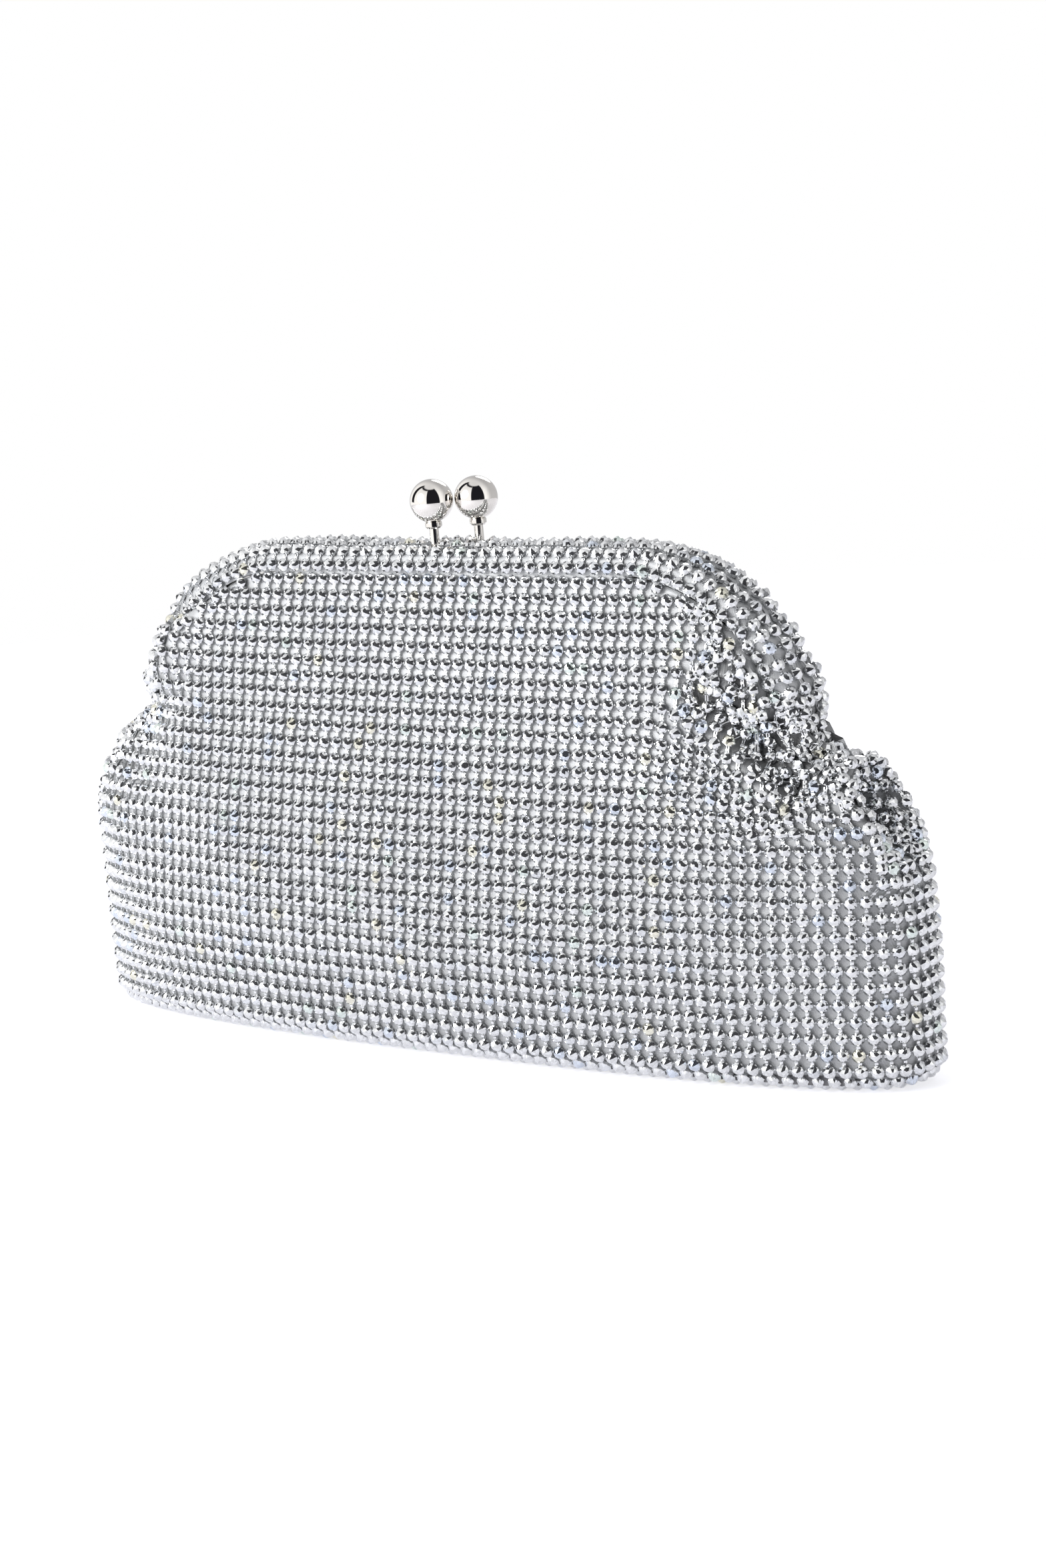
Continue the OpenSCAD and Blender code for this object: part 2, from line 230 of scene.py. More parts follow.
CORNER_STEPS = 90
corner_turn = np.linspace(0, np.pi / 2, CORNER_STEPS)
side_turn = np.linspace(0, np.pi / 2, 30)[1:]


def outline(v):
    """Plan outline at each v, from the wall's middle round the corner to the gusset's middle."""
    v = v[:, None]
    z = height(v)
    inset = edge_inset(v)
    power = 2 / corner_power(z)
    across = np.sin(corner_turn) ** power
    out = np.cos(corner_turn) ** power
    share = merge(z)
    end_d = LOW_END_HALF_D + (END_HALF_D - LOW_END_HALF_D) * share
    wall_y = end_d + (half_depth(z) - inset - end_d) * out
    low_w = low_half_w(z) - inset
    side = np.sin(side_turn) ** (2 / BAND_POWER)
    band_inset = PANEL_INSET * (1 - side)
    side_y = END_HALF_D * np.cos(side_turn) ** (2 / BAND_POWER) + 0 * z
    flat_y = end_d * (1 - side_turn / side_turn[-1])
    low_x = np.concatenate([low_w * across, low_w + 0 * flat_y], 1)
    low_y = np.concatenate([wall_y, flat_y], 1)
    reach = FOLD_SHARE * (half_depth(z) - inset)
    low_x = low_x - fold_depth(z) * np.cos(np.clip(low_y / reach, 0, 1) * np.pi / 2) ** 2
    high_x = np.concatenate([arch_half_w(z, PANEL_INSET) * across, arch_half_w(z, band_inset)], 1)
    high_y = np.concatenate([wall_y, side_y], 1)
    return low_x + (high_x - low_x) * share, low_y + (high_y - low_y) * share


def lengths(x, y):
    steps = np.hypot(np.diff(x, axis=1), np.diff(y, axis=1))
    return np.concatenate([np.zeros((len(x), 1)), np.cumsum(steps, 1)], 1)


def look_up(table, values, at):
    """The value at each entry of at, from rows of a rising table."""
    k = np.clip((table < at[:, None]).sum(1), 1, table.shape[1] - 1)
    row = np.arange(len(at))
    low = table[row, k - 1]
    share = (at - low) / np.maximum(table[row, k] - low, 1e-9)
    return values[row, k - 1] * (1 - share) + values[row, k] * share


def spread(v):
    """Cloth from the wall's middle to its edge, and to the gusset's middle."""
    v = np.atleast_1d(np.asarray(v, float))
    x, y = outline(v)
    run = lengths(x, y)
    z = height(v)
    seam = GUSSET_SHARE * (half_depth(z) - edge_inset(v))
    seam = seam + (END_HALF_D - seam) * merge(z)
    edge = look_up(-y, run, -seam)
    return edge, run[:, -1]


def panel_gap(p):
    """Rough distance in from the arched edge of an upper wall."""
    across = np.maximum(0, np.abs(p[:, 0]) - FLAT_X) / (HINGE_X - FLAT_X - PANEL_INSET)
    rise = np.clip(p[:, 2] - HINGE_Z, 0, None) / (PANEL_TOP - HINGE_Z)
    return (1 - (across**ARCH_POWER + rise**ARCH_POWER) ** (1 / ARCH_POWER)) * (PANEL_TOP - HINGE_Z)


def crease(p, x0, z0, x1, z1, width):
    """A soft trough from (x0, z0) to (x1, z1), seen from the front."""
    along = np.array([x1 - x0, z1 - z0])
    length = np.hypot(*along)
    along = along / length
    x, z = p[:, 0] - x0, p[:, 2] - z0
    travel = (x * along[0] + z * along[1]) / length
    off = x * along[1] - z * along[0]
    ends = ease(travel / 0.3 + 0.3) * ease((1.2 - travel) / 0.3)
    return np.exp(-((off / width) ** 2)) * ends


# The start and end of each crease, as x and z, and how deep or high it is
RIGHT_CREASE = (74, 96, 103, 72)
LEFT_CREASE = (-78, 96, -102, 74)
RIDGE = (66, 96, 98, 68)
RIGHT_CREASE_DEPTH = 3.0
LEFT_CREASE_DEPTH = 1.0
RIDGE_H = 1.0
SAG = 4.6

# The middle of each mound or hollow, as x and z, then its size in x and z
HOLLOW = (98, 83, 6, 5.5)
LEFT_PILLOW = (-94, 101, 13, 18)
RIGHT_PILLOW = (92, 97, 9, 13)
BAND_SWELL = (-87, 109, 16, 13)
HOLLOW_DEPTH = 2.6
LEFT_PILLOW_H = 6.0
RIGHT_PILLOW_H = 1.6
BAND_SWELL_H = 2.2


def sag(p):
    """How far the rows hang down where they run into the crease of the right shoulder."""
    held = 1 - merge(p[:, 2]) * (1 - ease(panel_gap(p) / 12))
    return SAG * crease(p, *RIGHT_CREASE, 12) * held


def skin(s, v, half):
    """Points of the outer form: s is cloth from the wall's middle, negative to the left."""
    x, y = outline(v)
    run = lengths(x, y)
    reach = np.abs(s)
    sign = np.where(s < 0, -1.0, 1.0)
    p = np.stack([sign * look_up(run, x, reach), half * look_up(run, y, reach), height(v)], 1)
    p[:, 2] -= sag(p)
    return p


def crumple(p):
    """How disordered the stones are: most in the gussets' folds and on the right shoulder."""
    right = ease((p[:, 0] - 70) / 26)
    left = ease((-p[:, 0] - 84) / 26) * (0.35 + 0.65 * ease((HINGE_Z - p[:, 2]) / 8))
    return (right + left) * within(p[:, 2], 54, 118)


def groove(p):
    """The wall dips beside the frame, most on the gathered shoulders."""
    depth = 0.1 + 2.6 * crumple(p)
    return depth * np.exp(-(((panel_gap(p) - 4.2) / 2.0) ** 2)) * merge(p[:, 2])


def shadow(p):
    """1 in the bottom of the creases, grooves and folds, where the satin is darkest."""
    valley = fold_depth(p[:, 2]) / FOLD_DEPTH * np.exp(-(((p[:, 1] + 3) / 6) ** 2))
    line = 1.1 * crease(p, *RIGHT_CREASE, 4.0) + 0.6 * groove(p)
    hollow = 0.9 * mound(p, *HOLLOW) * ease((4 - p[:, 1]) / 8)
    return np.clip(valley + line + hollow + 0.3 * crumple(p), 0, 1)


def pillow(p):
    """The walls stand full beside the ends of the arch, the left one most."""
    left = LEFT_PILLOW_H * mound(p, *LEFT_PILLOW)
    right = RIGHT_PILLOW_H * mound(p, *RIGHT_PILLOW)
    return np.where(p[:, 0] < 0, left, right)


def relief(p, half):
    """How far the cloth stands proud of the outer form."""
    x, z = p[:, 0], p[:, 2]
    calm = ease((z - 6) / 20) * ease((PANEL_TOP - z) / 14)
    phase = 0.8 * half
    waves = 0.34 * np.sin(x / 17 + 1.3 + phase) * np.sin(z / 13 + 0.7)
    waves = waves + 0.22 * np.sin(x / 7.3 + z / 9.1 + phase) + 0.16 * np.sin(x / 4.9 - z / 6.1)
    soft = crumple(p) * (1 - merge(z) * (1 - ease(panel_gap(p) / 5)))
    folds = 0.5 * np.sin(x / 2.9 + z / 2.3 + p[:, 1] / 2.6 + phase)
    folds = folds + 0.25 * np.sin(x / 1.9 - z / 3.1 + p[:, 1] / 2.1)
    trough = RIGHT_CREASE_DEPTH * crease(p, *RIGHT_CREASE, 3.2)
    trough = trough + LEFT_CREASE_DEPTH * crease(p, *LEFT_CREASE, 3.0)
    clear_of_hinge = ease((np.abs(p[:, 1]) - 3) / 5)
    trough = trough + HOLLOW_DEPTH * mound(p, *HOLLOW) * clear_of_hinge
    ridge = RIDGE_H * crease(p, *RIDGE, 4.5)
    return calm * (waves + soft * folds - trough + ridge + pillow(p)) - groove(p)


def unit(vectors):
    return vectors / np.maximum(np.linalg.norm(vectors, axis=1, keepdims=True), 1e-9)


def cloth(s, v, half, off):
    """Points of the cloth and its directions across and outward."""
    step = 0.5
    right, left = skin(s + step, v, half), skin(s - step, v, half)
    above, below = skin(s, v + step, half), skin(s, v - step, half)
    across, up = unit(right - left), unit(above - below)
    normal = unit(np.cross(across, up)) * -half
    slope_s = (relief(right, half) - relief(left, half)) / (2 * step)
    slope_v = (relief(above, half) - relief(below, half)) / (2 * step)
    point = skin(s, v, half)
    tuck = UNDERSIDE_TUCK * np.clip(-normal[:, 2], 0, 1)
    point = point + normal * (relief(point, half) + off - tuck)[:, None]
    normal = unit(normal - across * slope_s[:, None] - up * slope_v[:, None])
    return point, across, normal


# ---- The band over each frame half -----------------------------------------------------


def rail_table():
    """The arch from the right hinge over the top to the left one, as [flat, side, rise] shares."""
    turn = np.linspace(0, np.pi / 2, 160)
    side = np.cos(turn) ** (2 / ARCH_POWER)
    rise = np.sin(turn) ** (2 / ARCH_POWER)
    flat = np.linspace(1, -1, 60)[1:-1]
    right = np.stack([np.ones_like(turn), side, rise], 1)
    top = np.stack([flat, 0 * flat, 1 + 0 * flat], 1)
    left = (right * [-1, -1, 1])[::-1]
    return np.concatenate([right, top, left])


rail = rail_table()


def arch_xz(shares, inset):
    x = FLAT_X * shares[:, 0] + (HINGE_X - FLAT_X - inset) * shares[:, 1]
    z = HINGE_Z + (TOP_Z - HINGE_Z - inset) * shares[:, 2]
    return x, z


def rail_lengths():
    x, z = arch_xz(rail, 0)
    return np.concatenate([[0], np.cumsum(np.hypot(np.diff(x), np.diff(z)))])


rail_run = rail_lengths()
rail_start = np.interp(BAND_START_H, arch_xz(rail[:160], 0)[1] - HINGE_Z, rail_run[:160])


def section(share):
    """Inset and depth of the band at a share of its section, from the wall's edge to the slit."""
    turn = np.linspace(0, np.pi / 2, 60)
    inset = PANEL_INSET * (1 - np.sin(turn) ** (2 / BAND_POWER))
    depth = 0.3 + (BAND_DEPTH - 0.3) * np.cos(turn) ** (2 / BAND_POWER)
    run = np.concatenate([[0], np.cumsum(np.hypot(np.diff(inset), np.diff(depth)))])
    at = share * run[-1]
    return np.interp(at, run, inset), np.interp(at, run, depth)


def band_form(at, share, half):
    inset, depth = section(share)
    shares = np.stack([np.interp(at, rail_run, rail[:, k]) for k in range(3)], 1)
    x, z = arch_xz(shares, inset)
    return np.stack([x, half * depth, z], 1)


def band_cloth(at, share, half, off):
    step, share_step = 0.5, 0.03
    ahead, behind = band_form(at + step, share, half), band_form(at - step, share, half)
    inner = band_form(at, np.clip(share + share_step, 0, 1), half)
    outer = band_form(at, np.clip(share - share_step, 0, 1), half)
    across, up = unit(behind - ahead), unit(inner - outer)
    normal = unit(np.cross(across, up)) * -half
    point = band_form(at, share, half)
    wave = 0.25 * np.sin(at / 6.3 + half) + 0.5 * crumple(point) * np.sin(at / 1.9 + share * 4)
    swell = BAND_SWELL_H * mound(point, *BAND_SWELL) * (0.25 + 0.75 * share)
    return point + normal * (wave + swell + off)[:, None], across, normal


# ---- Mesh building ---------------------------------------------------------------------


def make_object(name, points, faces, smooth):
    """A mesh object from points in millimetres and faces of equal size."""
    points, faces = np.asarray(points, float), np.asarray(faces, int)
    mesh = bpy.data.meshes.new(name)
    mesh.vertices.add(len(points))
    mesh.vertices.foreach_set("co", (points * MM).astype(np.float32).ravel())
    mesh.loops.add(faces.size)
    mesh.loops.foreach_set("vertex_index", faces.astype(np.int32).ravel())
    mesh.polygons.add(len(faces))
    starts = np.arange(len(faces), dtype=np.int32) * faces.shape[1]
    mesh.polygons.foreach_set("loop_start", starts)
    mesh.update(calc_edges=True)
    mesh.polygons.foreach_set("use_smooth", [smooth] * len(faces))
    if smooth:
        mesh.set_sharp_from_angle(angle=0.9)
    mesh.validate()
    obj = bpy.data.objects.new(name, mesh)
    bpy.context.scene.collection.objects.link(obj)
    return obj


def copies(points, faces, frames, places, sizes):
    """Copies of a small mesh, each turned by its frame, scaled and put in its place."""
    turned = np.einsum("vk,nkj->nvj", points, frames) * sizes[:, None, None]
    moved = turned + places[:, None, :]
    starts = np.arange(len(places))[:, None, None] * len(points)
    return moved.reshape(-1, 3), (faces[None] + starts).reshape(-1, faces.shape[1])


def ring(radius, z, count, phase):
    angle = (np.arange(count) + phase) * 2 * np.pi / count
    return np.stack([radius * np.cos(angle), radius * np.sin(angle), np.full(count, z)], 1)


def fan(ring_start, count, flip):
    rows = [[ring_start, ring_start + k, ring_start + k + 1] for k in range(1, count - 1)]
    return [row[::-1] for row in rows] if flip else rows


def stone_shape():
    """A round stone: table, eight main facets and a 16-sided girdle. Its back is in the cup."""
    points = np.concatenate([
        ring(0.2 * STONE_R, STONE_H, 8, 0.5),
        ring(0.68 * STONE_R, 0.64 * STONE_H, 8, 0.5),
        ring(STONE_R, 0.1 * STONE_H, 16, 0.0),
    ])
    faces = fan(0, 8, False)
    for k in range(8):
        n = (k + 1) % 8
        table, table_n, mid, mid_n = k, n, 8 + k, 8 + n
        faces += [[mid, mid_n, table_n], [mid, table_n, table]]
        g0, g1, g2 = (16 + (2 * k + j) % 16 for j in (1, 2, 3))
        faces += [[g0, g1, mid], [g1, mid_n, mid], [g1, g2, mid_n]]
    return points, np.array(faces)


def cup_shape():
    """The setting under a stone: a flared cup with a thin lip that holds the girdle."""
    rings = [(0.74, CUP_BASE), (1.06, 0.05), (0.95, 0.3), (0.84, 0.1)]
    count = 8
    points = np.concatenate([ring(share * STONE_R, z, count, 0.0) for share, z in rings])
    faces = []
    for j in range(len(rings) - 1):
        for k in range(count):
            a, b = j * count + k, j * count + (k + 1) % count
            faces += [[a, b, b + count], [a, b + count, a + count]]
    return points, np.array(faces)


def frames_of(across, normal, tilt, twist):
    """Stone frames with a random tilt and twist: rows are the stone's own axes."""
    count = len(across)
    normal = unit(normal + random.normal(size=(count, 3)) * tilt[:, None])
    side = unit(across - normal * np.sum(across * normal, 1)[:, None])
    up = np.cross(normal, side)
    angle = random.normal(size=count) * twist
    cos, sin = np.cos(angle)[:, None], np.sin(angle)[:, None]
    return np.stack([side * cos + up * sin, up * cos - side * sin, normal], 1)


def bars(starts, ends, normals, half_width):
    """Thin four-sided links from each start to each end, open at the ends."""
    along = unit(ends - starts)
    side = unit(np.cross(along, normals)) * half_width
    lift = unit(np.cross(side, along)) * half_width
    corners = [-side - lift, side - lift, side + lift, -side + lift]
    points = np.stack([starts + c for c in corners] + [ends + c for c in corners], 1)
    faces = []
    for k in range(4):
        n = (k + 1) % 4
        faces += [[k, n, 4 + n], [k, 4 + n, 4 + k]]
    offsets = np.arange(len(starts))[:, None, None] * 8
    return points.reshape(-1, 3), (np.array(faces)[None] + offsets).reshape(-1, 3)


def join(parts):
    points, faces, start = [], [], 0
    for p, f in parts:
        points.append(p)
        faces.append(f + start)
        start += len(p)
    return np.concatenate(points), np.concatenate(faces)


def neighbours(keys, point, step):
    """Index pairs of stones that stand next to each other by step (rows, columns)."""
    index = {key: k for k, key in enumerate(keys)}
    pairs = [(k, index.get((key[0] + step[0], key[1] + step[1]))) for key, k in index.items()]
    pairs = np.array([pair for pair in pairs if pair[1] is not None], int).reshape(-1, 2)
    near = np.linalg.norm(point[pairs[:, 0]] - point[pairs[:, 1]], axis=1) < LINK_REACH
    return pairs[near].T


def links(keys, point, across, normal):
    """The net: a looped link to the stone above and a plain one to the stone beside."""
    low = point - normal * NET_DEPTH
    a, b = neighbours(keys, point, (1, 0))
    parts = []
    for offset in (-LOOP_OFF, LOOP_OFF):
        shift_a, shift_b = across[a] * offset, across[b] * offset
        parts.append(bars(low[a] + shift_a, low[b] + shift_b, normal[a], LOOP_WIRE))
    middle = (low[a] + low[b]) / 2 + normal[a] * 0.1
    tie = across[a] * TIE_REACH
    parts.append(bars(middle - tie, middle + tie, normal[a], TIE_WIRE))
    a, b = neighbours(keys, point, (0, 1))
    parts.append(bars(low[a], low[b], normal[a], CROSS_WIRE))
    return parts


def set_values(obj, name, domain, values):
    """Numbers on a mesh that its material turns into a tint, a painted shade or a painted
    reflection.
    """
    attribute = obj.data.attributes.new(name, "FLOAT", domain)
    attribute.data.foreach_set("value", values.astype(np.float32))


stone_points, stone_faces = stone_shape()
cup_points, cup_faces = cup_shape()


def lay_stones(name, keys, point, across, normal, flatten=1.0, beside=None):
    """Stones and their silver net at the given places. keys are (row, column) numbers.

    beside holds stones of the piece next to this one, which this piece's net reaches to.
    """
    count = len(point)
    loose = crumple(point)
    stray, tilt, twist = (calm + more * loose for calm, more in (STRAY, TILT, TWIST))
    shift = random.normal(size=(count, 3)) * stray[:, None]
    shift = shift - normal * np.sum(shift * normal, 1)[:, None] * 0.6
    place = point + shift
    frames = frames_of(across, normal, tilt, twist)
    sizes = 1 + random.normal(size=count) * 0.012
    squash = np.array([1, 1, flatten])
    stone_mesh = copies(stone_points * squash, stone_faces, frames, place, sizes)
    stones = make_object(name + "_stones", *stone_mesh, False)
    set_values(stones, "glint", "POINT", np.repeat(random.random(count), len(stone_points)))
    # Painted reflection: a random number on each facet, which the crystal material turns into
    # darker facets.
    set_values(stones, "facet", "FACE", random.random(len(stones.data.polygons)))
    cups = copies(cup_points * squash, cup_faces, frames, place, sizes)
    stones_at = (place, across, normal)
    if beside:
        keys = keys + beside[0]
        stones_at = [np.concatenate(pair) for pair in zip(stones_at, beside[1])]
    net = links(keys, *stones_at)
    settings = make_object(name + "_settings", *join([cups] + net), False)
    # Painted shade: the cups under the stones get 0 and are painted darker; the links get 1.
    outside_shade = np.arange(len(settings.data.polygons)) >= len(cups[1])
    set_values(settings, "outside_cup_shade", "FACE", outside_shade)
    for obj, material in ((stones, crystal), (settings, silver)):
        obj.data.materials.append(material)
    return stones, settings


def grid_faces(rows, cols):
    a = (np.arange(rows - 1)[:, None] * cols + np.arange(cols - 1)[None]).ravel()
    return np.stack([a, a + 1, a + cols + 1, a + cols], 1)


def shell(outer, inner, rows, cols, flip):
    """A closed sheet of cloth between two grids of points."""
    count = rows * cols
    faces = grid_faces(rows, cols)
    left = np.arange(rows - 1) * cols
    low = np.arange(cols - 1)
    right, high = left + cols - 1, low + (rows - 1) * cols
    sides = [faces, faces[:, ::-1] + count]
    for a, b, turn in ((left, left + cols, False), (right, right + cols, True),
                       (low, low + 1, True), (high, high + 1, False)):
        side = np.stack([a, b, b + count, a + count], 1)
        sides.append(side[:, ::-1] if turn else side)
    faces = np.concatenate(sides)
    if flip:
        faces = faces[:, ::-1]
    return np.concatenate([outer, inner]), faces


def cloth_shell(name, s_rows, v_rows, half, layer):
    """A sheet of the wall or gusset; s_rows holds one row of places across for each v."""
    off, thickness, material, slot = layer
    rows, cols = s_rows.shape
    s, v = s_rows.ravel(), np.repeat(v_rows, cols)
    outer = cloth(s, v, half, off)[0]
    inner = cloth(s, v, half, off - thickness)[0]
    obj = make_object(name, *shell(outer, inner, rows, cols, half > 0), True)
    set_values(obj, "shadow", "POINT", np.tile(shadow(outer), 2))
    obj.data.materials.append(material)
    return obj


# ---- Materials -------------------------------------------------------------------------


class Nodes:
    """Short calls for building the node tree of a material or a world."""

    def __init__(self, owner):
        owner.use_nodes = True
        self.owner = owner
        self.tree = owner.node_tree
        self.shader = self.tree.nodes.get("Principled BSDF")

    def add(self, kind, **values):
        node = self.tree.nodes.new(kind)
        for key, value in values.items():
            if key in node.inputs:
                node.inputs[key].default_value = value
            else:
                setattr(node, key, value)
        return node

    def link(self, source, target):
        self.tree.links.new(source, target)

    def set(self, **values):
        for key, value in values.items():
            self.shader.inputs[key.replace("_", " ")].default_value = value

    def ramp(self, source, stops, interpolation="LINEAR"):
        node = self.tree.nodes.new("ShaderNodeValToRGB")
        node.color_ramp.interpolation = interpolation
        elements = node.color_ramp.elements
        while len(elements) < len(stops):
            elements.new(0.5)
        for element, (position, colour) in zip(elements, stops):
            element.position = position
            element.color = (*colour, 1)
        self.link(source, node.inputs[0])
        return node.outputs[0]

    def place(self):
        return self.add("ShaderNodeTexCoord").outputs["Object"]

    def noise(self, scale, detail, roughness=0.5):
        node = self.add("ShaderNodeTexNoise", Scale=scale, Detail=detail, Roughness=roughness)
        self.link(self.place(), node.inputs["Vector"])
        return node.outputs["Fac"]

    def span(self, source, low, high, start=0, end=1, kind="LINEAR"):
        """A value that goes from low to high as source goes from start to end."""
        node = self.add("ShaderNodeMapRange", interpolation_type=kind)
        limits = {"From Min": start, "From Max": end, "To Min": low, "To Max": high}
        for key, value in limits.items():
            node.inputs[key].default_value = value
        self.link(source, node.inputs["Value"])
        return node.outputs[0]

    def math(self, operation, a, b):
        """Two values combined; the second may be a plain number."""
        node = self.add("ShaderNodeMath", operation=operation)
        self.link(a, node.inputs[0])
        if isinstance(b, (int, float)):
            node.inputs[1].default_value = b
        else:
            self.link(b, node.inputs[1])
        return node.outputs[0]

    def paint(self, colour, attribute, low, high):
        """Base colour, multiplied by low where a mesh attribute is 0 and by high where it is 1."""
        value = self.add("ShaderNodeAttribute", attribute_name=attribute).outputs["Fac"]
        mix = self.add("ShaderNodeMix", data_type="RGBA", blend_type="MULTIPLY")
        mix.inputs["Factor"].default_value = 1
        self.link(colour, mix.inputs["A"])
        self.link(self.span(value, low, high), mix.inputs["B"])
        self.link(mix.outputs["Result"], self.shader.inputs["Base Color"])

    def bump(self, source, strength, distance):
        node = self.add("ShaderNodeBump", Strength=strength, Distance=distance)
        self.link(source, node.inputs["Height"])
        self.link(node.outputs[0], self.shader.inputs["Normal"])


def new_material(name):
    return Nodes(bpy.data.materials.new(name))


def crystal_material():
    """Foiled glass: mirror-bright facets, a few with a faint blue, green or yellow cast."""
    m = new_material("crystal")
    glint = m.add("ShaderNodeAttribute", attribute_name="glint").outputs["Fac"]
    clear = (0.93, 0.94, 0.95)
    stops = [
        (0.0, clear),
        (0.8, (0.88, 0.90, 0.93)),
        (0.9, (0.80, 0.86, 0.96)),
        (0.95, (0.84, 0.92, 0.88)),
        (0.98, (0.95, 0.93, 0.80)),
    ]
    # Painted reflection: each facet is darkened at random by up to a quarter, for uneven
    # reflections inside the foiled stone.
    m.paint(m.ramp(glint, stops, "CONSTANT"), "facet", 0.76, 1)
    m.link(m.span(m.noise(900, 2), 0.02, 0.1), m.shader.inputs["Roughness"])
    m.set(Metallic=0.93, Coat_Weight=0.4, Coat_Roughness=0.03)
    return m.owner


def silver_material():
    """Silver, with painted shade: the cups under the stones are a tenth darker than the links."""
    m = new_material("silver_setting")
    patina = m.noise(600, 3)
    tone = m.ramp(patina, [(0.35, (0.84, 0.85, 0.86)), (0.65, (0.94, 0.95, 0.96))])
    # Painted shade: the cups are multiplied by 0.9 and the links by 1.
    m.paint(tone, "outside_cup_shade", 0.9, 1)
    m.link(m.span(patina, 0.18, 0.34), m.shader.inputs["Roughness"])
    m.set(Metallic=1.0)
    return m.owner


def weave(m, scale):
    """Fine crossing threads."""
    mapping = m.add("ShaderNodeMapping")
    mapping.inputs["Rotation"].default_value = (0.3, 0.2, 0.4)
    m.link(m.place(), mapping.inputs["Vector"])
    waves = []
    for direction in ("X", "Z"):
        wave = m.add("ShaderNodeTexWave", bands_direction=direction, Scale=scale, Distortion=0.4)
        m.link(mapping.outputs[0], wave.inputs["Vector"])
        waves.append(wave.outputs["Fac"])
    return m.math("MULTIPLY", *waves)


def satin_material(name, dark, light, weave_scale, bump):
    m = new_material(name)
    m.paint(m.ramp(m.noise(70, 4), [(0.3, dark), (0.7, light)]), "shadow", 1, 0.2)
    m.link(m.span(m.noise(240, 2), 0.36, 0.52), m.shader.inputs["Roughness"])
    m.bump(weave(m, weave_scale), bump, 0.0002)
    m.set(Metallic=0.3, Sheen_Weight=0.4, Sheen_Roughness=0.35)
    return m.owner


def metal_material(name, dark, light, roughness, grain):
    m = new_material(name)
    m.link(m.ramp(m.noise(grain, 3), [(0.3, dark), (0.7, light)]), m.shader.inputs["Base Color"])
    m.link(m.span(m.noise(grain * 2.3, 4), *roughness), m.shader.inputs["Roughness"])
    m.set(Metallic=1.0)
    return m.owner


def fibre_material(name, dark, light):
    m = new_material(name)
    m.link(m.ramp(m.noise(420, 6, 0.7), [(0.3, dark), (0.7, light)]), m.shader.inputs["Base Color"])
    m.bump(m.noise(900, 4, 0.7), 0.5, 0.0002)
    m.set(Roughness=0.85)
    return m.owner


crystal = crystal_material()
silver = silver_material()
satin = satin_material(
    "satin_ground", (0.57, 0.58, 0.59), (0.65, 0.66, 0.67), weave_scale=900, bump=0.25
)
lining_satin = satin_material(
    "satin_lining", (0.44, 0.45, 0.48), (0.54, 0.55, 0.58), weave_scale=700, bump=0.35
)
nickel = metal_material(
    "polished_nickel", (0.80, 0.77, 0.73), (0.86, 0.83, 0.79), roughness=(0.02, 0.06), grain=300
)
steel = metal_material(
    "frame_steel", (0.62, 0.61, 0.6), (0.76, 0.75, 0.73), roughness=(0.16, 0.32), grain=220
)
paper = fibre_material("paper_cord", (0.5, 0.4, 0.28), (0.72, 0.62, 0.47))
board = fibre_material("base_board", (0.1, 0.1, 0.105), (0.22, 0.22, 0.23))
satin_layer = (SATIN_OFF, SATIN_T, satin, "satin_ground")
lining_layer = (LINING_OFF, LINING_T, lining_satin, "satin_lining")


# ---- Walls, gussets, bands and base ----------------------------------------------------


def bends(objects):
    """Bakes each piece's transform into its mesh points."""
    for obj in objects:
        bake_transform(obj)


def stone_rows():
    return np.linspace(LOW_ROW, cloth_at(PANEL_TOP - EDGE_GAP), ROW_COUNT)


def gusset_rows():
    """The wall's rows up to the fold, then rows at the same spacing over the folded cloth."""
    rows = stone_rows()
    pitch = rows[1] - rows[0]
    aligned = rows[height(rows) < FOLD_LOW_Z - 3]
    fine = np.linspace(aligned[-1], cloth_at(HINGE_Z + BAND_START_H - 1), 300)
    near_middle = outline(fine)[0][:, -8]
    run = np.concatenate([[0], np.cumsum(np.hypot(np.diff(near_middle), np.diff(fine)))])
    count = int(round(run[-1] / pitch))
    even = np.arange(1, count + 1) * run[-1] / count
    return np.concatenate([aligned, np.interp(even, run, fine)])


def gathered(z):
    """Places of a row's stones from the middle outwards, closer towards the shoulders."""
    even = np.arange(MOST_COLUMNS) * PITCH_ACROSS
    share = np.clip((even - GATHER_FROM) / GATHER_OVER, 0, 1)
    excess = GATHER_OVER * (share**3 - share**4 / 2)
    excess = excess + np.maximum(0, even - GATHER_FROM - GATHER_OVER)
    return even - GATHER * within(z, 56, 114) * excess


def wall_places():
    """(row, column), s and v of each stone on a wall."""
    rows = stone_rows()
    edges = spread(rows)[0]
    keys, s, v = [], [], []
    for r, (row, edge) in enumerate(zip(rows, edges)):
        places = gathered(height(row))
        places = places[places < edge - EDGE_GAP * merge(height(row))]
        for c, place in enumerate(places):
            for sign in (1, -1) if c else (1,):
                keys.append((r, sign * c))
                s.append(sign * place)
                v.append(row)
    return keys, np.array(s), np.array(v)


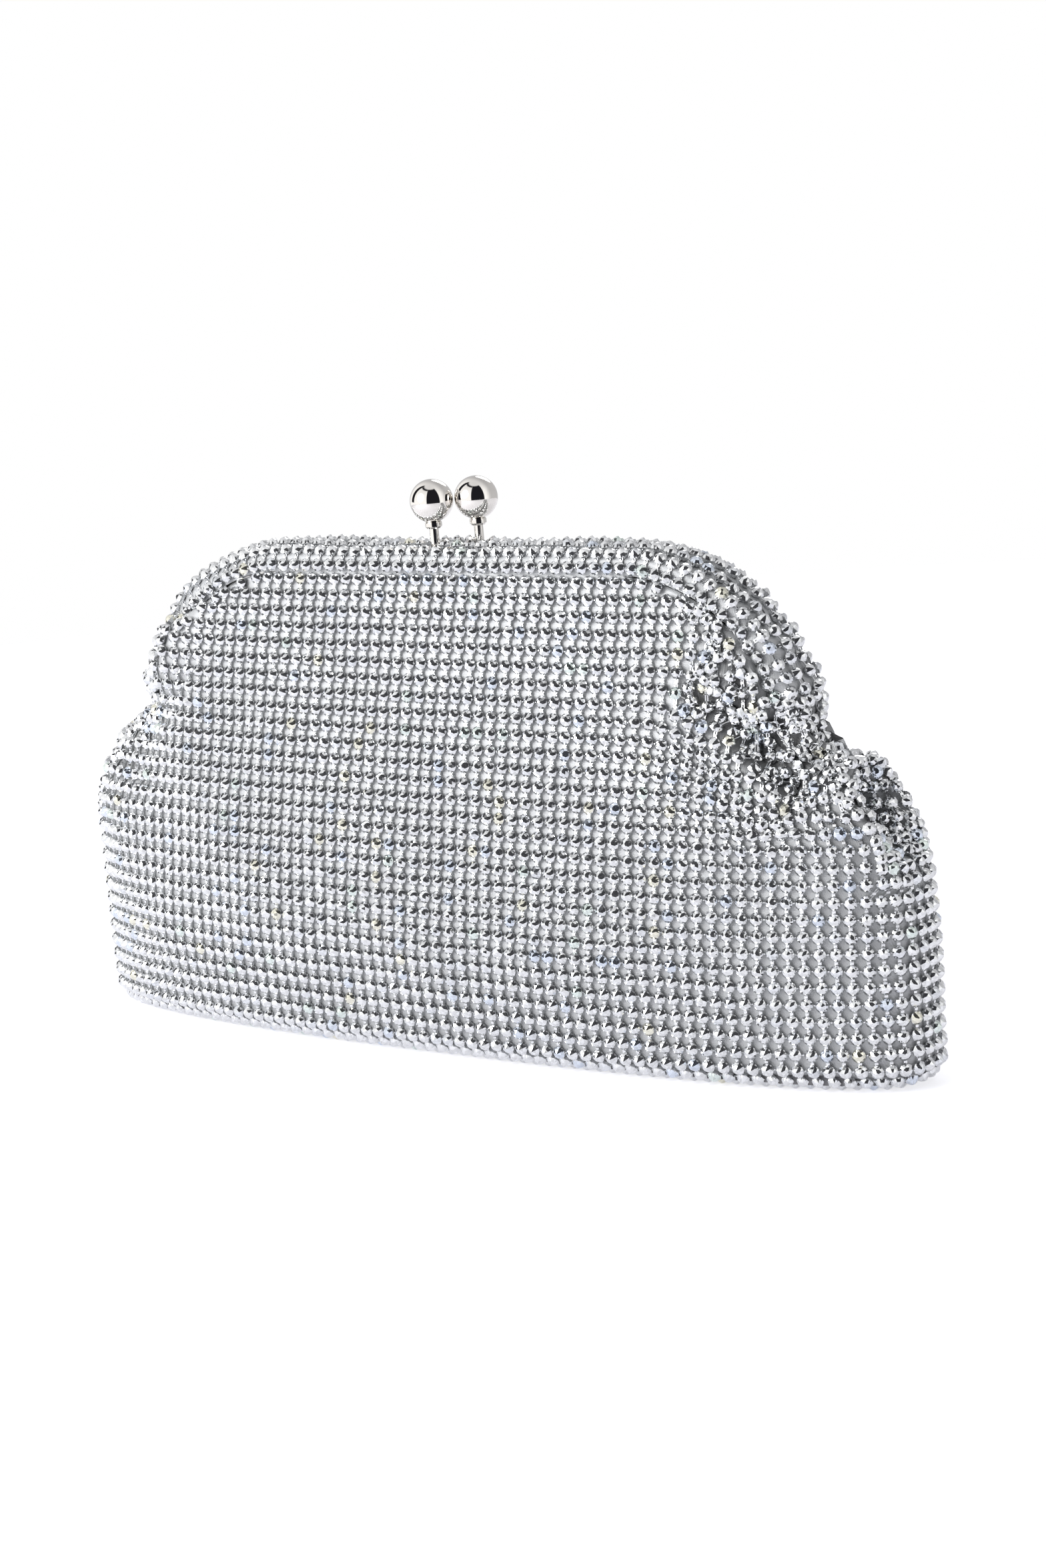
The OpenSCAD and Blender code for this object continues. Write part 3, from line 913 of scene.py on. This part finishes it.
def gusset_places(side):
    """(row, column), s and v of each stone on one half of a gusset."""
    rows = gusset_rows()
    edges, ends = spread(rows)
    keys, s, v = [], [], []
    for r, (row, edge, end) in enumerate(zip(rows, edges, ends)):
        even = gathered(height(row))
        first = even[np.searchsorted(even, edge)]
        last = end - PITCH_ACROSS / 2
        pitch = PITCH_ACROSS * (1 - GATHER * (height(row) > FOLD_LOW_Z))
        count = max(1, int(round((last - first) / pitch)))
        for c, place in enumerate(np.linspace(first, last, count + 1), 1):
            keys.append((r, c))
            s.append(side * place)
            v.append(row)
    return keys, np.array(s), np.array(v)


def wall_edge(side):
    """The last stone of each wall row below the fold, as column 0 of the gusset."""
    last = {}
    for (r, c), s, v in zip(*wall_places()):
        if c * side > 0 and height(v) < FOLD_LOW_Z - 3:
            last[(r, 0)] = (s, v)
    s, v = np.array([last[key] for key in last]).T
    return list(last), s, v


def nearest(points, taken):
    """Distance from each point to the closest of the taken ones."""
    return np.array([np.sqrt(np.min(np.sum((taken - point) ** 2, 1))) for point in points])


def filled(keys, s, v, half, s_new, v_new, others):
    """The given places, with the new ones that have room beside them and the others."""
    taken = np.concatenate([cloth(s, v, half, 0)[0], *others])
    points = cloth(s_new, v_new, half, 0)[0]
    gap = FILL_GAP - FILL_CLOSER * crumple(points)
    gap = gap - FILL_CLOSER_HOLLOW * mound(points, *HOLLOW)
    chosen = []
    for k in np.flatnonzero(nearest(points, taken) > gap):
        if nearest(points[k : k + 1], taken)[0] > gap[k]:
            taken = np.concatenate([taken, points[k : k + 1]])
            chosen.append(k)
    keys = keys + [(FILL_KEYS + 2 * k, 0) for k in range(len(chosen))]
    return keys, np.concatenate([s, s_new[chosen]]), np.concatenate([v, v_new[chosen]])


def loose_heights(low_z, high_z):
    return random.uniform(cloth_at(low_z), cloth_at(high_z), FILL_TRIES)


def wall_fill():
    """Chance places on both shoulders of a wall."""
    v = loose_heights(SHOULDER_Z, PANEL_TOP - 0.6)
    stop = spread(v)[0] - 0.7
    side = np.sign(random.random(len(v)) - 0.5)
    return side * (SHOULDER_X + (stop - SHOULDER_X) * random.random(len(v))), v


def gusset_fill(side):
    """Chance places on the folded part of one half of a gusset."""
    v = loose_heights(FOLD_LOW_Z, HINGE_Z + BAND_START_H)
    edge, end = spread(v)
    return side * (edge + 0.5 + (end - edge - 1.7) * random.random(len(v))), v


def cloth_rows(top_z, bottom=-0.5):
    """Heights for a sheet's grid: fine round the base, even from there to the top."""
    low = np.linspace(bottom, BASE_BEND, 8)
    return np.concatenate([low, np.linspace(BASE_BEND, cloth_at(top_z), 64)[1:]])


def wall(half, name):
    keys, s, v = wall_places()
    at, share = band_places(half)[1:]
    band_points = band_cloth(at, share, half, 0)[0]
    keys, s, v = filled(keys, s, v, half, *wall_fill(), [band_points])
    pieces = list(lay_stones(name + "_wall", keys, *cloth(s, v, half, 0)))
    rows = cloth_rows(PANEL_TOP + 0.3)
    edge = spread(rows)[0] + 0.2
    s_rows = edge[:, None] * np.linspace(-1, 1, 97)[None]
    ground = cloth_shell(name + "_wall_satin", s_rows, rows, half, satin_layer)
    pieces.append(ground)
    bends(pieces)
    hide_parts(name + "_lower_mesh", name + "_upper_mesh")
    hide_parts(name + "_lower_ground", name + "_upper_ground", name + "_bend_panel")


def gusset(half, half_name, side, side_name):
    name = f"{side_name}_gusset_{half_name}"
    keys, s, v = gusset_places(side)
    wall_s, wall_v = wall_places()[1:]
    near = cloth(wall_s, wall_v, half, 0)[0]
    keys, s, v = filled(keys, s, v, half, *gusset_fill(side), [near])
    edge_keys, edge_s, edge_v = wall_edge(side)
    beside = (edge_keys, cloth(edge_s, edge_v, half, 0))
    pieces = list(lay_stones(name, keys, *cloth(s, v, half, 0), beside=beside))
    rows = cloth_rows(HINGE_Z + BAND_START_H + 1.5)
    edge, end = spread(rows)
    share = np.linspace(0, 1, 15)[None]
    s_rows = side * (edge[:, None] - 0.2 + (end - edge + 0.3)[:, None] * share)
    if side < 0:
        s_rows = s_rows[:, ::-1]
    ground = cloth_shell(name + "_satin", s_rows, rows, half, satin_layer)
    pieces.append(ground)
    bends(pieces)
    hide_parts(side_name + "_gusset_mesh")
    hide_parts(side_name + "_gusset_ground")


def band_places(half):
    """(row, column), place along the arch and share of the section of each stone on a band."""
    length = rail_run[-1] - 2 * rail_start
    shares = (0.15, 0.48, 0.81)
    count = int(round(length / PITCH_ACROSS))
    keys, at, share = [], [], []
    for r, row_share in enumerate(shares):
        for c in range(count):
            keys.append((r, c))
            at.append(rail_start + (c + 0.5) * length / count)
            share.append(row_share)
    at, share = np.array(at), np.array(share)
    centre = band_form(at, share, half)
    stem_x, stem_y = -half * BALL_X, -half * BALL_Y
    clear = np.hypot(centre[:, 0] - stem_x, centre[:, 1] - stem_y) > 2.3
    clear = clear | (centre[:, 2] < HINGE_Z + 20)
    return [k for k, keep in zip(keys, clear) if keep], at[clear], share[clear]


def band(half, name):
    keys, at, share = band_places(half)
    pieces = list(lay_stones(name + "_band", keys, *band_cloth(at, share, half, 0)))
    rows, cols = 13, 181
    along = np.linspace(rail_start - 1.5, rail_run[-1] - rail_start + 1.5, cols)[::-1]
    grid_at, grid_share = np.tile(along, rows), np.repeat(np.linspace(0, 1, rows), cols)
    outer = band_cloth(grid_at, grid_share, half, SATIN_OFF)[0]
    inner = band_cloth(grid_at, grid_share, half, SATIN_OFF - 0.5)[0]
    ground = make_object(name + "_band_satin", *shell(outer, inner, rows, cols, half > 0), True)
    ground.data.materials.append(satin)
    pieces.append(ground)
    bends(pieces)
    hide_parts(name + "_frame_mesh")


def base():
    """The underside: flat rows of stones that the bag stands on."""
    x, y = (row[0] for row in outline(np.array([0.0])))
    keys, places = [], []
    for r in range(BASE_ROWS):
        depth = (r - BASE_ROWS // 2) * PITCH_ACROSS
        reach = np.interp(-abs(depth) - 0.8, -y, x) - 1.2
        last = int(reach // PITCH_ACROSS)
        for c in range(-last, last + 1):
            keys.append((r, c))
            places.append([c * PITCH_ACROSS, depth, 0.0])
    point = np.array(places)
    normal = np.tile([0.0, 0.0, -1.0], (len(point), 1))
    across = np.tile([1.0, 0.0, 0.0], (len(point), 1))
    flatten = 0.8
    point[:, 2] = STONE_H * flatten + 0.05
    pieces = lay_stones("base", keys, point, across, normal, flatten)
    ground = plan_sheet("base_satin", satin, z=1.65, thickness=0.14, inset=0.8)
    for piece in (*pieces, ground):
        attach(piece, "bag_body")
    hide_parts("base_mesh")


def plan_sheet(name, material, z, thickness, inset, wave=0.0):
    """A flat sheet that follows the body's plan, drawn in by inset and by the rounded edge."""
    rows, cols = 25, 121
    x, y = (row[0] for row in outline(np.array([BASE_BEND])))
    drawn_in = inset + (BASE_ROUND if z < BASE_ROUND / 3 else 0)
    across = (x.max() - drawn_in) * np.sin(np.linspace(-1, 1, cols) * np.pi / 2)
    depth = np.interp(np.abs(across) + inset, x[:CORNER_STEPS], y[:CORNER_STEPS]) - drawn_in
    px = np.tile(across, rows)
    py = (np.linspace(-1, 1, rows)[:, None] * depth[None]).ravel()
    rise = wave * (np.sin(px / 19 + 0.4) * np.sin(py / 7 + 0.9) + 0.4 * np.sin(px / 8 + py / 5))
    top = np.stack([px, py, z + thickness + rise], 1)
    low = np.stack([px, py, z + rise], 1)
    obj = make_object(name, *shell(top, low, rows, cols, False), True)
    obj.data.materials.append(material)
    return obj


def lining(half, name):
    """The lining of one wall and of the gusset halves beside it."""
    rows = np.concatenate([
        np.linspace(BASE_BEND + 0.4, cloth_at(HINGE_Z + 4), 44),
        np.linspace(cloth_at(HINGE_Z + 4), cloth_at(PANEL_TOP - 4.5), 24)[1:],
    ])
    edge, end = spread(rows)
    upper = merge(height(rows))
    low_reach, high_reach = end - LINING_GUSSET_GAP, edge - LINING_ARCH_GAP
    reach = low_reach + (high_reach - low_reach) * upper
    s_rows = reach[:, None] * np.linspace(-1, 1, 113)[None]
    obj = cloth_shell(name + "_lining", s_rows, rows, half, lining_layer)
    bends([obj])
    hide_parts("lower_lining", name + "_upper_lining")


def pocket():
    """An open-topped pocket on the rear lining, with a turned hem along its mouth."""
    rows, cols, hem_rows = 30, 49, 3
    half_w = pocket_high[0]
    heights = np.linspace(cloth_at(pocket_low[2]), cloth_at(pocket_high[2]), rows)
    s, v = np.tile(np.linspace(-half_w, half_w, cols), rows), np.repeat(heights, cols)
    hem = 0.35 * (np.repeat(np.arange(rows), cols) >= rows - hem_rows)
    gape = 0.9 * (v - v[0]) / (v[-1] - v[0]) * np.cos(s / half_w * np.pi / 2)
    lift = LINING_OFF - LINING_T - 0.25 - gape
    outer, _, direction = cloth(s, v, REAR, 0)
    near = outer + direction * lift[:, None]
    far = outer + direction * (lift - 0.3 - hem)[:, None]
    obj = make_object("slip_pocket_cloth", *shell(near, far, rows, cols, True), True)
    obj.data.materials.append(lining_satin)
    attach(obj, "bag_body")
    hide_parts("slip_pocket")


def base_lining():
    name, slot = "base_lining_cloth", "satin_lining"
    bottom = board_high[2] + 0.25
    obj = plan_sheet(name, lining_satin, z=bottom, thickness=0.5, inset=6.2, wave=0.12)
    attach(obj, "bag_body")
    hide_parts("base_lining")


def finish_metal():
    """The metal and board keep their CAD shapes and get their own finishes."""
    finishes = {"frame": steel, "frame_cord": paper, "clasp_stem": nickel}
    finishes.update({"clasp_collar": nickel, "clasp_ball": nickel})
    chosen = {f"{half}_{part}": m for half in ("front", "rear") for part, m in finishes.items()}
    chosen.update({"left_hinge_rivet": steel, "right_hinge_rivet": steel, "base_board": board})
    for node, material in chosen.items():
        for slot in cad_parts[node].material_slots:
            slot.material = material


for half, half_name in ((FRONT, "front"), (REAR, "rear")):
    wall(half, half_name)
    for side, side_name in ((-1, "left"), (1, "right")):
        gusset(half, half_name, side, side_name)
    band(half, half_name)
    lining(half, half_name)
base()
base_lining()
pocket()
finish_metal()


# ---- Floor, light and camera -----------------------------------------------------------

STUDIO_LIGHT = 1.22

# Dark parts of the studio: left and right in degrees from the front, low and high as shares of
# the way up
OPENINGS = ((12, 84, -0.25, 0.92), (-66, 12, 0.84, 0.92), (-88, -66, -0.05, 0.92))


def floor():
    """A pale table top. It looks a little lighter straight on than in the stones' facets."""
    mesh = bpy.data.meshes.new("floor")
    angle = np.linspace(0, 2 * np.pi, 97)[:-1]
    rim = [(0.85 * np.cos(a), 0.85 * np.sin(a), 0) for a in angle]
    mesh.from_pydata(rim, [], [list(range(len(rim)))])
    obj = bpy.data.objects.new("floor", mesh)
    bpy.context.scene.collection.objects.link(obj)
    obj.location.z = -0.0002
    m = new_material("floor")
    m.set(Base_Color=(0.76, 0.76, 0.82, 1), Roughness=0.9, Emission_Color=(1, 1, 1, 1))
    path = m.add("ShaderNodeLightPath")
    m.link(m.span(path.outputs["Is Camera Ray"], 0.3, 0.6), m.shader.inputs["Emission Strength"])
    obj.data.materials.append(m.owner)


def window(m, value, low, high, soft):
    """1 where value lies between low and high, with soft edges."""
    rising = m.span(value, 0, 1, low - soft, low + soft, "SMOOTHSTEP")
    falling = m.span(value, 1, 0, high - soft, high + soft, "SMOOTHSTEP")
    return m.math("MULTIPLY", rising, falling)


def studio():
    """White walls and a grey ceiling, with the dark opening the picture is taken through."""
    world = bpy.data.worlds.new("studio")
    bpy.context.scene.world = world
    m = Nodes(world)
    m.tree.nodes.clear()
    split = m.add("ShaderNodeSeparateXYZ")
    m.link(m.add("ShaderNodeTexCoord").outputs["Generated"], split.inputs[0])
    backwards = m.math("MULTIPLY", split.outputs["Y"], -1)
    turn = m.math("ARCTAN2", split.outputs["X"], backwards)
    rise = split.outputs["Z"]
    dark = None
    for left, right, low, high in OPENINGS:
        across = window(m, turn, np.radians(left), np.radians(right), 0.04)
        patch = m.math("MULTIPLY", across, window(m, rise, low, high, 0.03))
        dark = patch if dark is None else m.math("MAXIMUM", dark, patch)
    tones = [(0.0, (1, 1, 1)), (0.6, (0.9, 0.9, 0.9)), (1.0, (0.66, 0.66, 0.67))]
    walls = m.ramp(m.span(rise, 0, 1), tones)
    shade = m.add("ShaderNodeMix", data_type="RGBA")
    shade.inputs["B"].default_value = (0.012, 0.012, 0.015, 1)
    m.link(dark, shade.inputs["Factor"])
    far = m.add("ShaderNodeMix", data_type="RGBA", blend_type="MULTIPLY")
    far.inputs["B"].default_value = (0.5, 0.5, 0.51, 1)
    m.link(window(m, split.outputs["Y"], 0.35, 2.0, 0.3), far.inputs["Factor"])
    m.link(walls, far.inputs["A"])
    m.link(far.outputs["Result"], shade.inputs["A"])
    around = m.add("ShaderNodeBackground", Strength=STUDIO_LIGHT)
    m.link(shade.outputs["Result"], around.inputs["Color"])
    behind = m.add("ShaderNodeBackground", Color=(1, 1, 1, 1))
    mix = m.add("ShaderNodeMixShader")
    m.link(m.add("ShaderNodeLightPath").outputs["Is Camera Ray"], mix.inputs[0])
    m.link(around.outputs[0], mix.inputs[1])
    m.link(behind.outputs[0], mix.inputs[2])
    m.link(mix.outputs[0], m.add("ShaderNodeOutputWorld").inputs[0])


def soft_light(name, location, target, size, energy):
    data = bpy.data.lights.new(name, "AREA")
    data.shape = "DISK"
    data.size = size
    data.energy = energy
    obj = bpy.data.objects.new(name, data)
    bpy.context.scene.collection.objects.link(obj)
    obj.location = location
    aim = Vector(target) - Vector(location)
    obj.rotation_euler = aim.to_track_quat("-Z", "Y").to_euler()


def camera():
    """The viewpoint: right of the front, a little above, and leaning slightly."""
    azimuth, elevation, roll = np.radians([38.35, 10.75, 4.88])
    target = np.array([0.0148, -0.0009, 0.0658])
    distance, lens, sensor = 0.8465, 78.35, 36.0
    back = np.array([
        np.sin(azimuth) * np.cos(elevation),
        -np.cos(azimuth) * np.cos(elevation),
        np.sin(elevation),
    ])
    level = np.array([np.cos(azimuth), np.sin(azimuth), 0.0])
    upright = np.cross(back, level)
    right = level * np.cos(roll) - upright * np.sin(roll)
    up = upright * np.cos(roll) + level * np.sin(roll)
    data = bpy.data.cameras.new("camera")
    data.lens = lens
    data.sensor_width = sensor
    data.clip_start = 0.01
    obj = bpy.data.objects.new("camera", data)
    bpy.context.scene.collection.objects.link(obj)
    turn = Matrix([right, up, back]).transposed().to_4x4()
    obj.matrix_world = Matrix.Translation(target + back * distance) @ turn
    bpy.context.scene.camera = obj


floor()
studio()
middle = (0, 0, 0.06)
soft_light("key", (-0.29, -0.62, 0.38), middle, 0.5, 3.6)
soft_light("back", (-0.4, 1.2, 0.9), middle, 0.8, 3.0)
camera()
bpy.context.scene.view_settings.view_transform = "Standard"
